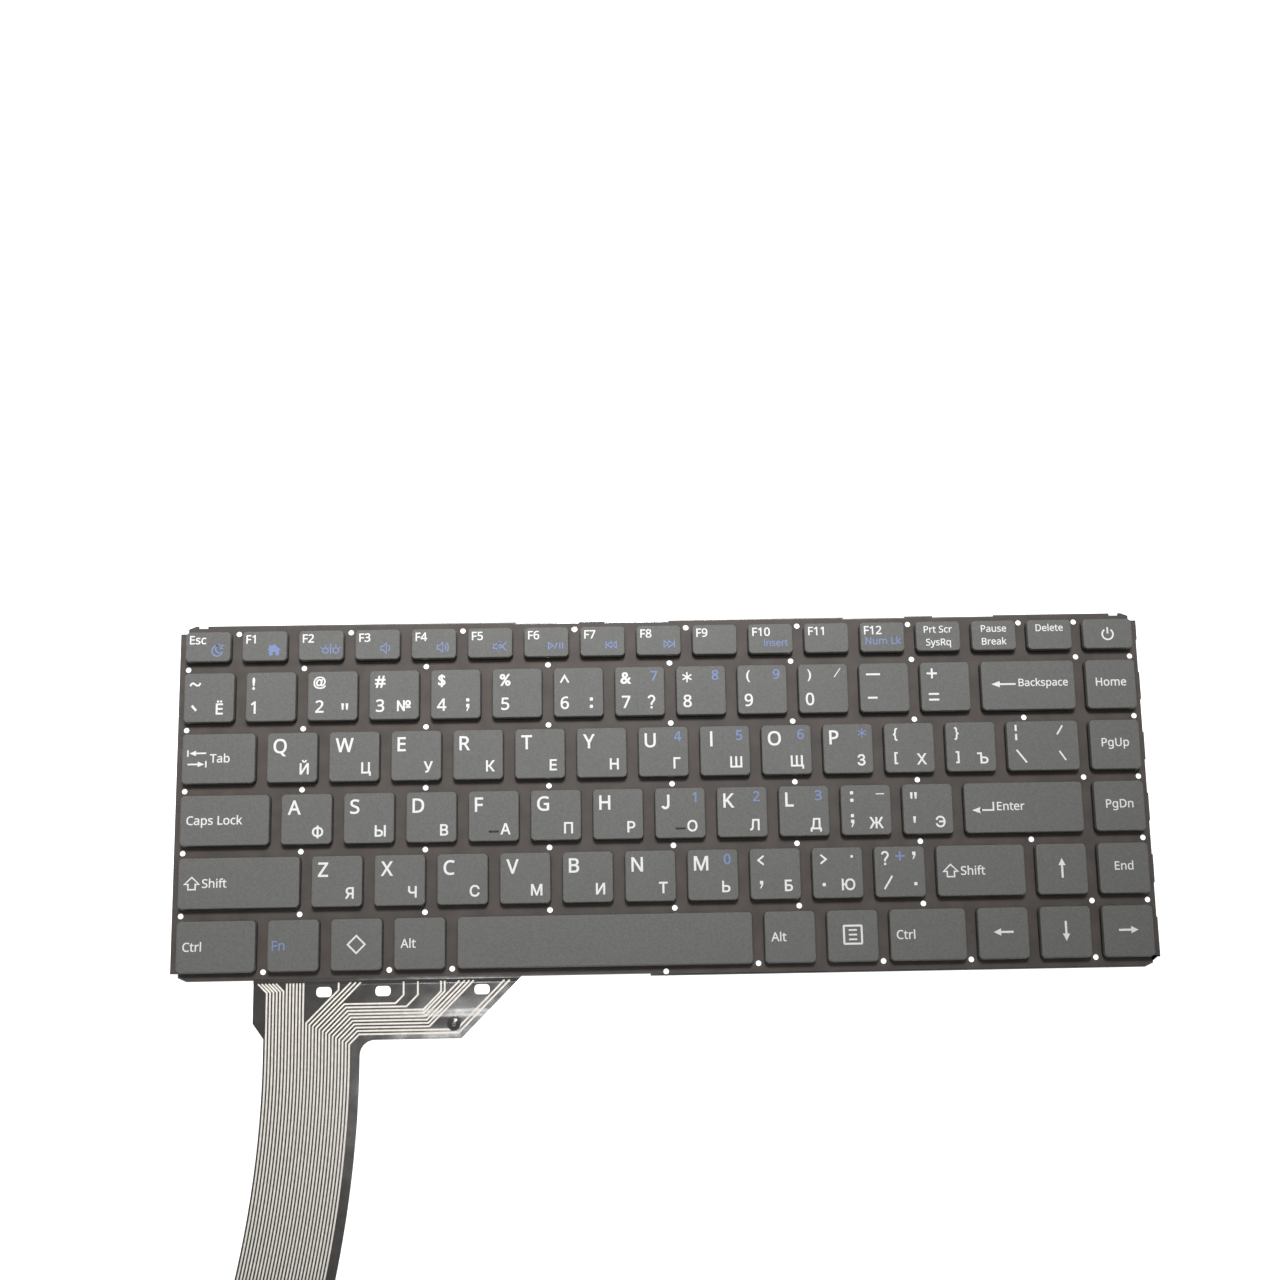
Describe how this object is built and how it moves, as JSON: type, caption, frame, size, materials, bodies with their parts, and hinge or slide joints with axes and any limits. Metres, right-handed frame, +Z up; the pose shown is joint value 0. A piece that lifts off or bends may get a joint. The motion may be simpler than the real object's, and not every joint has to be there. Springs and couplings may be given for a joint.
{
  "type": "laptop replacement keyboard",
  "caption": "Slim frameless laptop keyboard: rows of low island keys on a riveted metal plate, with a flat film tail for its connector.",
  "frame": {"origin": "centre of the base plate's underside", "axes": "+X along the key rows to the right, +Y to the function row at the back, +Z up through the key tops"},
  "size_m": [0.301, 0.2147, 0.0043],
  "materials": {
    "plate": "black film-coated steel sheet, glossy",
    "film": "dark printed polyester film",
    "liner": "tan paper liner over adhesive",
    "stiffener": "grey-green polyester tab",
    "dome": "dark silicone rubber",
    "lift": "dark grey moulded acetal",
    "wire": "drawn steel wire",
    "cap": "dark grey moulded plastic, fine matt texture"
  },
  "bodies": {
    "base": {"base_plate": "plate", "membrane": "film", "tail_adhesive": "liner", "tail_stiffener": "stiffener", "rubber_domes": "dome", "scissor_outer_leaves": "lift", "scissor_inner_leaves": "lift", "stabilizer_wires": "wire", "function_row_keys": "cap", "symbol_keys": "cap", "modifier_keys": "cap", "navigation_keys": "cap"},
    "a_key": {"key_a": "cap"},
    "b_key": {"key_b": "cap"},
    "c_key": {"key_c": "cap"},
    "d_key": {"key_d": "cap"},
    "e_key": {"key_e": "cap"},
    "f_key": {"key_f": "cap"},
    "g_key": {"key_g": "cap"},
    "h_key": {"key_h": "cap"},
    "i_key": {"key_i": "cap"},
    "j_key": {"key_j": "cap"},
    "k_key": {"key_k": "cap"},
    "l_key": {"key_l": "cap"},
    "m_key": {"key_m": "cap"},
    "n_key": {"key_n": "cap"},
    "o_key": {"key_o": "cap"},
    "p_key": {"key_p": "cap"},
    "q_key": {"key_q": "cap"},
    "r_key": {"key_r": "cap"},
    "s_key": {"key_s": "cap"},
    "t_key": {"key_t": "cap"},
    "u_key": {"key_u": "cap"},
    "v_key": {"key_v": "cap"},
    "w_key": {"key_w": "cap"},
    "x_key": {"key_x": "cap"},
    "y_key": {"key_y": "cap"},
    "z_key": {"key_z": "cap"},
    "1_key": {"key_1": "cap"},
    "2_key": {"key_2": "cap"},
    "3_key": {"key_3": "cap"},
    "4_key": {"key_4": "cap"},
    "5_key": {"key_5": "cap"},
    "6_key": {"key_6": "cap"},
    "7_key": {"key_7": "cap"},
    "8_key": {"key_8": "cap"},
    "9_key": {"key_9": "cap"},
    "0_key": {"key_0": "cap"},
    "escape_key": {"key_escape": "cap"},
    "space_key": {"key_space": "cap"},
    "enter_key": {"key_enter": "cap"},
    "backspace_key": {"key_backspace": "cap"},
    "tab_key": {"key_tab": "cap"},
    "caps_lock_key": {"key_caps_lock": "cap"},
    "left_shift_key": {"key_left_shift": "cap"},
    "right_shift_key": {"key_right_shift": "cap"},
    "up_key": {"key_up": "cap"},
    "down_key": {"key_down": "cap"},
    "left_key": {"key_left": "cap"},
    "right_key": {"key_right": "cap"}
  },
  "joints": [
    {"name": "a_press", "type": "slide", "parent": "base", "child": "a_key", "axis": [0, 0, -1], "range_m": [0, 0.0015], "stiffness_N_per_m": 300, "springref_m": -0.0007, "deforming": ["rubber_domes", "scissor_outer_leaves", "scissor_inner_leaves"]},
    {"name": "b_press", "type": "slide", "parent": "base", "child": "b_key", "axis": [0, 0, -1], "range_m": [0, 0.0015], "stiffness_N_per_m": 300, "springref_m": -0.0007, "deforming": ["rubber_domes", "scissor_outer_leaves", "scissor_inner_leaves"]},
    {"name": "c_press", "type": "slide", "parent": "base", "child": "c_key", "axis": [0, 0, -1], "range_m": [0, 0.0015], "stiffness_N_per_m": 300, "springref_m": -0.0007, "deforming": ["rubber_domes", "scissor_outer_leaves", "scissor_inner_leaves"]},
    {"name": "d_press", "type": "slide", "parent": "base", "child": "d_key", "axis": [0, 0, -1], "range_m": [0, 0.0015], "stiffness_N_per_m": 300, "springref_m": -0.0007, "deforming": ["rubber_domes", "scissor_outer_leaves", "scissor_inner_leaves"]},
    {"name": "e_press", "type": "slide", "parent": "base", "child": "e_key", "axis": [0, 0, -1], "range_m": [0, 0.0015], "stiffness_N_per_m": 300, "springref_m": -0.0007, "deforming": ["rubber_domes", "scissor_outer_leaves", "scissor_inner_leaves"]},
    {"name": "f_press", "type": "slide", "parent": "base", "child": "f_key", "axis": [0, 0, -1], "range_m": [0, 0.0015], "stiffness_N_per_m": 300, "springref_m": -0.0007, "deforming": ["rubber_domes", "scissor_outer_leaves", "scissor_inner_leaves"]},
    {"name": "g_press", "type": "slide", "parent": "base", "child": "g_key", "axis": [0, 0, -1], "range_m": [0, 0.0015], "stiffness_N_per_m": 300, "springref_m": -0.0007, "deforming": ["rubber_domes", "scissor_outer_leaves", "scissor_inner_leaves"]},
    {"name": "h_press", "type": "slide", "parent": "base", "child": "h_key", "axis": [0, 0, -1], "range_m": [0, 0.0015], "stiffness_N_per_m": 300, "springref_m": -0.0007, "deforming": ["rubber_domes", "scissor_outer_leaves", "scissor_inner_leaves"]},
    {"name": "i_press", "type": "slide", "parent": "base", "child": "i_key", "axis": [0, 0, -1], "range_m": [0, 0.0015], "stiffness_N_per_m": 300, "springref_m": -0.0007, "deforming": ["rubber_domes", "scissor_outer_leaves", "scissor_inner_leaves"]},
    {"name": "j_press", "type": "slide", "parent": "base", "child": "j_key", "axis": [0, 0, -1], "range_m": [0, 0.0015], "stiffness_N_per_m": 300, "springref_m": -0.0007, "deforming": ["rubber_domes", "scissor_outer_leaves", "scissor_inner_leaves"]},
    {"name": "k_press", "type": "slide", "parent": "base", "child": "k_key", "axis": [0, 0, -1], "range_m": [0, 0.0015], "stiffness_N_per_m": 300, "springref_m": -0.0007, "deforming": ["rubber_domes", "scissor_outer_leaves", "scissor_inner_leaves"]},
    {"name": "l_press", "type": "slide", "parent": "base", "child": "l_key", "axis": [0, 0, -1], "range_m": [0, 0.0015], "stiffness_N_per_m": 300, "springref_m": -0.0007, "deforming": ["rubber_domes", "scissor_outer_leaves", "scissor_inner_leaves"]},
    {"name": "m_press", "type": "slide", "parent": "base", "child": "m_key", "axis": [0, 0, -1], "range_m": [0, 0.0015], "stiffness_N_per_m": 300, "springref_m": -0.0007, "deforming": ["rubber_domes", "scissor_outer_leaves", "scissor_inner_leaves"]},
    {"name": "n_press", "type": "slide", "parent": "base", "child": "n_key", "axis": [0, 0, -1], "range_m": [0, 0.0015], "stiffness_N_per_m": 300, "springref_m": -0.0007, "deforming": ["rubber_domes", "scissor_outer_leaves", "scissor_inner_leaves"]},
    {"name": "o_press", "type": "slide", "parent": "base", "child": "o_key", "axis": [0, 0, -1], "range_m": [0, 0.0015], "stiffness_N_per_m": 300, "springref_m": -0.0007, "deforming": ["rubber_domes", "scissor_outer_leaves", "scissor_inner_leaves"]},
    {"name": "p_press", "type": "slide", "parent": "base", "child": "p_key", "axis": [0, 0, -1], "range_m": [0, 0.0015], "stiffness_N_per_m": 300, "springref_m": -0.0007, "deforming": ["rubber_domes", "scissor_outer_leaves", "scissor_inner_leaves"]},
    {"name": "q_press", "type": "slide", "parent": "base", "child": "q_key", "axis": [0, 0, -1], "range_m": [0, 0.0015], "stiffness_N_per_m": 300, "springref_m": -0.0007, "deforming": ["rubber_domes", "scissor_outer_leaves", "scissor_inner_leaves"]},
    {"name": "r_press", "type": "slide", "parent": "base", "child": "r_key", "axis": [0, 0, -1], "range_m": [0, 0.0015], "stiffness_N_per_m": 300, "springref_m": -0.0007, "deforming": ["rubber_domes", "scissor_outer_leaves", "scissor_inner_leaves"]},
    {"name": "s_press", "type": "slide", "parent": "base", "child": "s_key", "axis": [0, 0, -1], "range_m": [0, 0.0015], "stiffness_N_per_m": 300, "springref_m": -0.0007, "deforming": ["rubber_domes", "scissor_outer_leaves", "scissor_inner_leaves"]},
    {"name": "t_press", "type": "slide", "parent": "base", "child": "t_key", "axis": [0, 0, -1], "range_m": [0, 0.0015], "stiffness_N_per_m": 300, "springref_m": -0.0007, "deforming": ["rubber_domes", "scissor_outer_leaves", "scissor_inner_leaves"]},
    {"name": "u_press", "type": "slide", "parent": "base", "child": "u_key", "axis": [0, 0, -1], "range_m": [0, 0.0015], "stiffness_N_per_m": 300, "springref_m": -0.0007, "deforming": ["rubber_domes", "scissor_outer_leaves", "scissor_inner_leaves"]},
    {"name": "v_press", "type": "slide", "parent": "base", "child": "v_key", "axis": [0, 0, -1], "range_m": [0, 0.0015], "stiffness_N_per_m": 300, "springref_m": -0.0007, "deforming": ["rubber_domes", "scissor_outer_leaves", "scissor_inner_leaves"]},
    {"name": "w_press", "type": "slide", "parent": "base", "child": "w_key", "axis": [0, 0, -1], "range_m": [0, 0.0015], "stiffness_N_per_m": 300, "springref_m": -0.0007, "deforming": ["rubber_domes", "scissor_outer_leaves", "scissor_inner_leaves"]},
    {"name": "x_press", "type": "slide", "parent": "base", "child": "x_key", "axis": [0, 0, -1], "range_m": [0, 0.0015], "stiffness_N_per_m": 300, "springref_m": -0.0007, "deforming": ["rubber_domes", "scissor_outer_leaves", "scissor_inner_leaves"]},
    {"name": "y_press", "type": "slide", "parent": "base", "child": "y_key", "axis": [0, 0, -1], "range_m": [0, 0.0015], "stiffness_N_per_m": 300, "springref_m": -0.0007, "deforming": ["rubber_domes", "scissor_outer_leaves", "scissor_inner_leaves"]},
    {"name": "z_press", "type": "slide", "parent": "base", "child": "z_key", "axis": [0, 0, -1], "range_m": [0, 0.0015], "stiffness_N_per_m": 300, "springref_m": -0.0007, "deforming": ["rubber_domes", "scissor_outer_leaves", "scissor_inner_leaves"]},
    {"name": "1_press", "type": "slide", "parent": "base", "child": "1_key", "axis": [0, 0, -1], "range_m": [0, 0.0015], "stiffness_N_per_m": 300, "springref_m": -0.0007, "deforming": ["rubber_domes", "scissor_outer_leaves", "scissor_inner_leaves"]},
    {"name": "2_press", "type": "slide", "parent": "base", "child": "2_key", "axis": [0, 0, -1], "range_m": [0, 0.0015], "stiffness_N_per_m": 300, "springref_m": -0.0007, "deforming": ["rubber_domes", "scissor_outer_leaves", "scissor_inner_leaves"]},
    {"name": "3_press", "type": "slide", "parent": "base", "child": "3_key", "axis": [0, 0, -1], "range_m": [0, 0.0015], "stiffness_N_per_m": 300, "springref_m": -0.0007, "deforming": ["rubber_domes", "scissor_outer_leaves", "scissor_inner_leaves"]},
    {"name": "4_press", "type": "slide", "parent": "base", "child": "4_key", "axis": [0, 0, -1], "range_m": [0, 0.0015], "stiffness_N_per_m": 300, "springref_m": -0.0007, "deforming": ["rubber_domes", "scissor_outer_leaves", "scissor_inner_leaves"]},
    {"name": "5_press", "type": "slide", "parent": "base", "child": "5_key", "axis": [0, 0, -1], "range_m": [0, 0.0015], "stiffness_N_per_m": 300, "springref_m": -0.0007, "deforming": ["rubber_domes", "scissor_outer_leaves", "scissor_inner_leaves"]},
    {"name": "6_press", "type": "slide", "parent": "base", "child": "6_key", "axis": [0, 0, -1], "range_m": [0, 0.0015], "stiffness_N_per_m": 300, "springref_m": -0.0007, "deforming": ["rubber_domes", "scissor_outer_leaves", "scissor_inner_leaves"]},
    {"name": "7_press", "type": "slide", "parent": "base", "child": "7_key", "axis": [0, 0, -1], "range_m": [0, 0.0015], "stiffness_N_per_m": 300, "springref_m": -0.0007, "deforming": ["rubber_domes", "scissor_outer_leaves", "scissor_inner_leaves"]},
    {"name": "8_press", "type": "slide", "parent": "base", "child": "8_key", "axis": [0, 0, -1], "range_m": [0, 0.0015], "stiffness_N_per_m": 300, "springref_m": -0.0007, "deforming": ["rubber_domes", "scissor_outer_leaves", "scissor_inner_leaves"]},
    {"name": "9_press", "type": "slide", "parent": "base", "child": "9_key", "axis": [0, 0, -1], "range_m": [0, 0.0015], "stiffness_N_per_m": 300, "springref_m": -0.0007, "deforming": ["rubber_domes", "scissor_outer_leaves", "scissor_inner_leaves"]},
    {"name": "0_press", "type": "slide", "parent": "base", "child": "0_key", "axis": [0, 0, -1], "range_m": [0, 0.0015], "stiffness_N_per_m": 300, "springref_m": -0.0007, "deforming": ["rubber_domes", "scissor_outer_leaves", "scissor_inner_leaves"]},
    {"name": "escape_press", "type": "slide", "parent": "base", "child": "escape_key", "axis": [0, 0, -1], "range_m": [0, 0.0015], "stiffness_N_per_m": 300, "springref_m": -0.0007, "deforming": ["rubber_domes", "scissor_outer_leaves", "scissor_inner_leaves"]},
    {"name": "space_press", "type": "slide", "parent": "base", "child": "space_key", "axis": [0, 0, -1], "range_m": [0, 0.0015], "stiffness_N_per_m": 300, "springref_m": -0.0007, "deforming": ["rubber_domes", "scissor_outer_leaves", "scissor_inner_leaves", "stabilizer_wires"]},
    {"name": "enter_press", "type": "slide", "parent": "base", "child": "enter_key", "axis": [0, 0, -1], "range_m": [0, 0.0015], "stiffness_N_per_m": 300, "springref_m": -0.0007, "deforming": ["rubber_domes", "scissor_outer_leaves", "scissor_inner_leaves", "stabilizer_wires"]},
    {"name": "backspace_press", "type": "slide", "parent": "base", "child": "backspace_key", "axis": [0, 0, -1], "range_m": [0, 0.0015], "stiffness_N_per_m": 300, "springref_m": -0.0007, "deforming": ["rubber_domes", "scissor_outer_leaves", "scissor_inner_leaves", "stabilizer_wires"]},
    {"name": "tab_press", "type": "slide", "parent": "base", "child": "tab_key", "axis": [0, 0, -1], "range_m": [0, 0.0015], "stiffness_N_per_m": 300, "springref_m": -0.0007, "deforming": ["rubber_domes", "scissor_outer_leaves", "scissor_inner_leaves"]},
    {"name": "caps_lock_press", "type": "slide", "parent": "base", "child": "caps_lock_key", "axis": [0, 0, -1], "range_m": [0, 0.0015], "stiffness_N_per_m": 300, "springref_m": -0.0007, "deforming": ["rubber_domes", "scissor_outer_leaves", "scissor_inner_leaves", "stabilizer_wires"]},
    {"name": "left_shift_press", "type": "slide", "parent": "base", "child": "left_shift_key", "axis": [0, 0, -1], "range_m": [0, 0.0015], "stiffness_N_per_m": 300, "springref_m": -0.0007, "deforming": ["rubber_domes", "scissor_outer_leaves", "scissor_inner_leaves", "stabilizer_wires"]},
    {"name": "right_shift_press", "type": "slide", "parent": "base", "child": "right_shift_key", "axis": [0, 0, -1], "range_m": [0, 0.0015], "stiffness_N_per_m": 300, "springref_m": -0.0007, "deforming": ["rubber_domes", "scissor_outer_leaves", "scissor_inner_leaves", "stabilizer_wires"]},
    {"name": "up_press", "type": "slide", "parent": "base", "child": "up_key", "axis": [0, 0, -1], "range_m": [0, 0.0015], "stiffness_N_per_m": 300, "springref_m": -0.0007, "deforming": ["rubber_domes", "scissor_outer_leaves", "scissor_inner_leaves"]},
    {"name": "down_press", "type": "slide", "parent": "base", "child": "down_key", "axis": [0, 0, -1], "range_m": [0, 0.0015], "stiffness_N_per_m": 300, "springref_m": -0.0007, "deforming": ["rubber_domes", "scissor_outer_leaves", "scissor_inner_leaves"]},
    {"name": "left_press", "type": "slide", "parent": "base", "child": "left_key", "axis": [0, 0, -1], "range_m": [0, 0.0015], "stiffness_N_per_m": 300, "springref_m": -0.0007, "deforming": ["rubber_domes", "scissor_outer_leaves", "scissor_inner_leaves"]},
    {"name": "right_press", "type": "slide", "parent": "base", "child": "right_key", "axis": [0, 0, -1], "range_m": [0, 0.0015], "stiffness_N_per_m": 300, "springref_m": -0.0007, "deforming": ["rubber_domes", "scissor_outer_leaves", "scissor_inner_leaves"]}
  ]
}
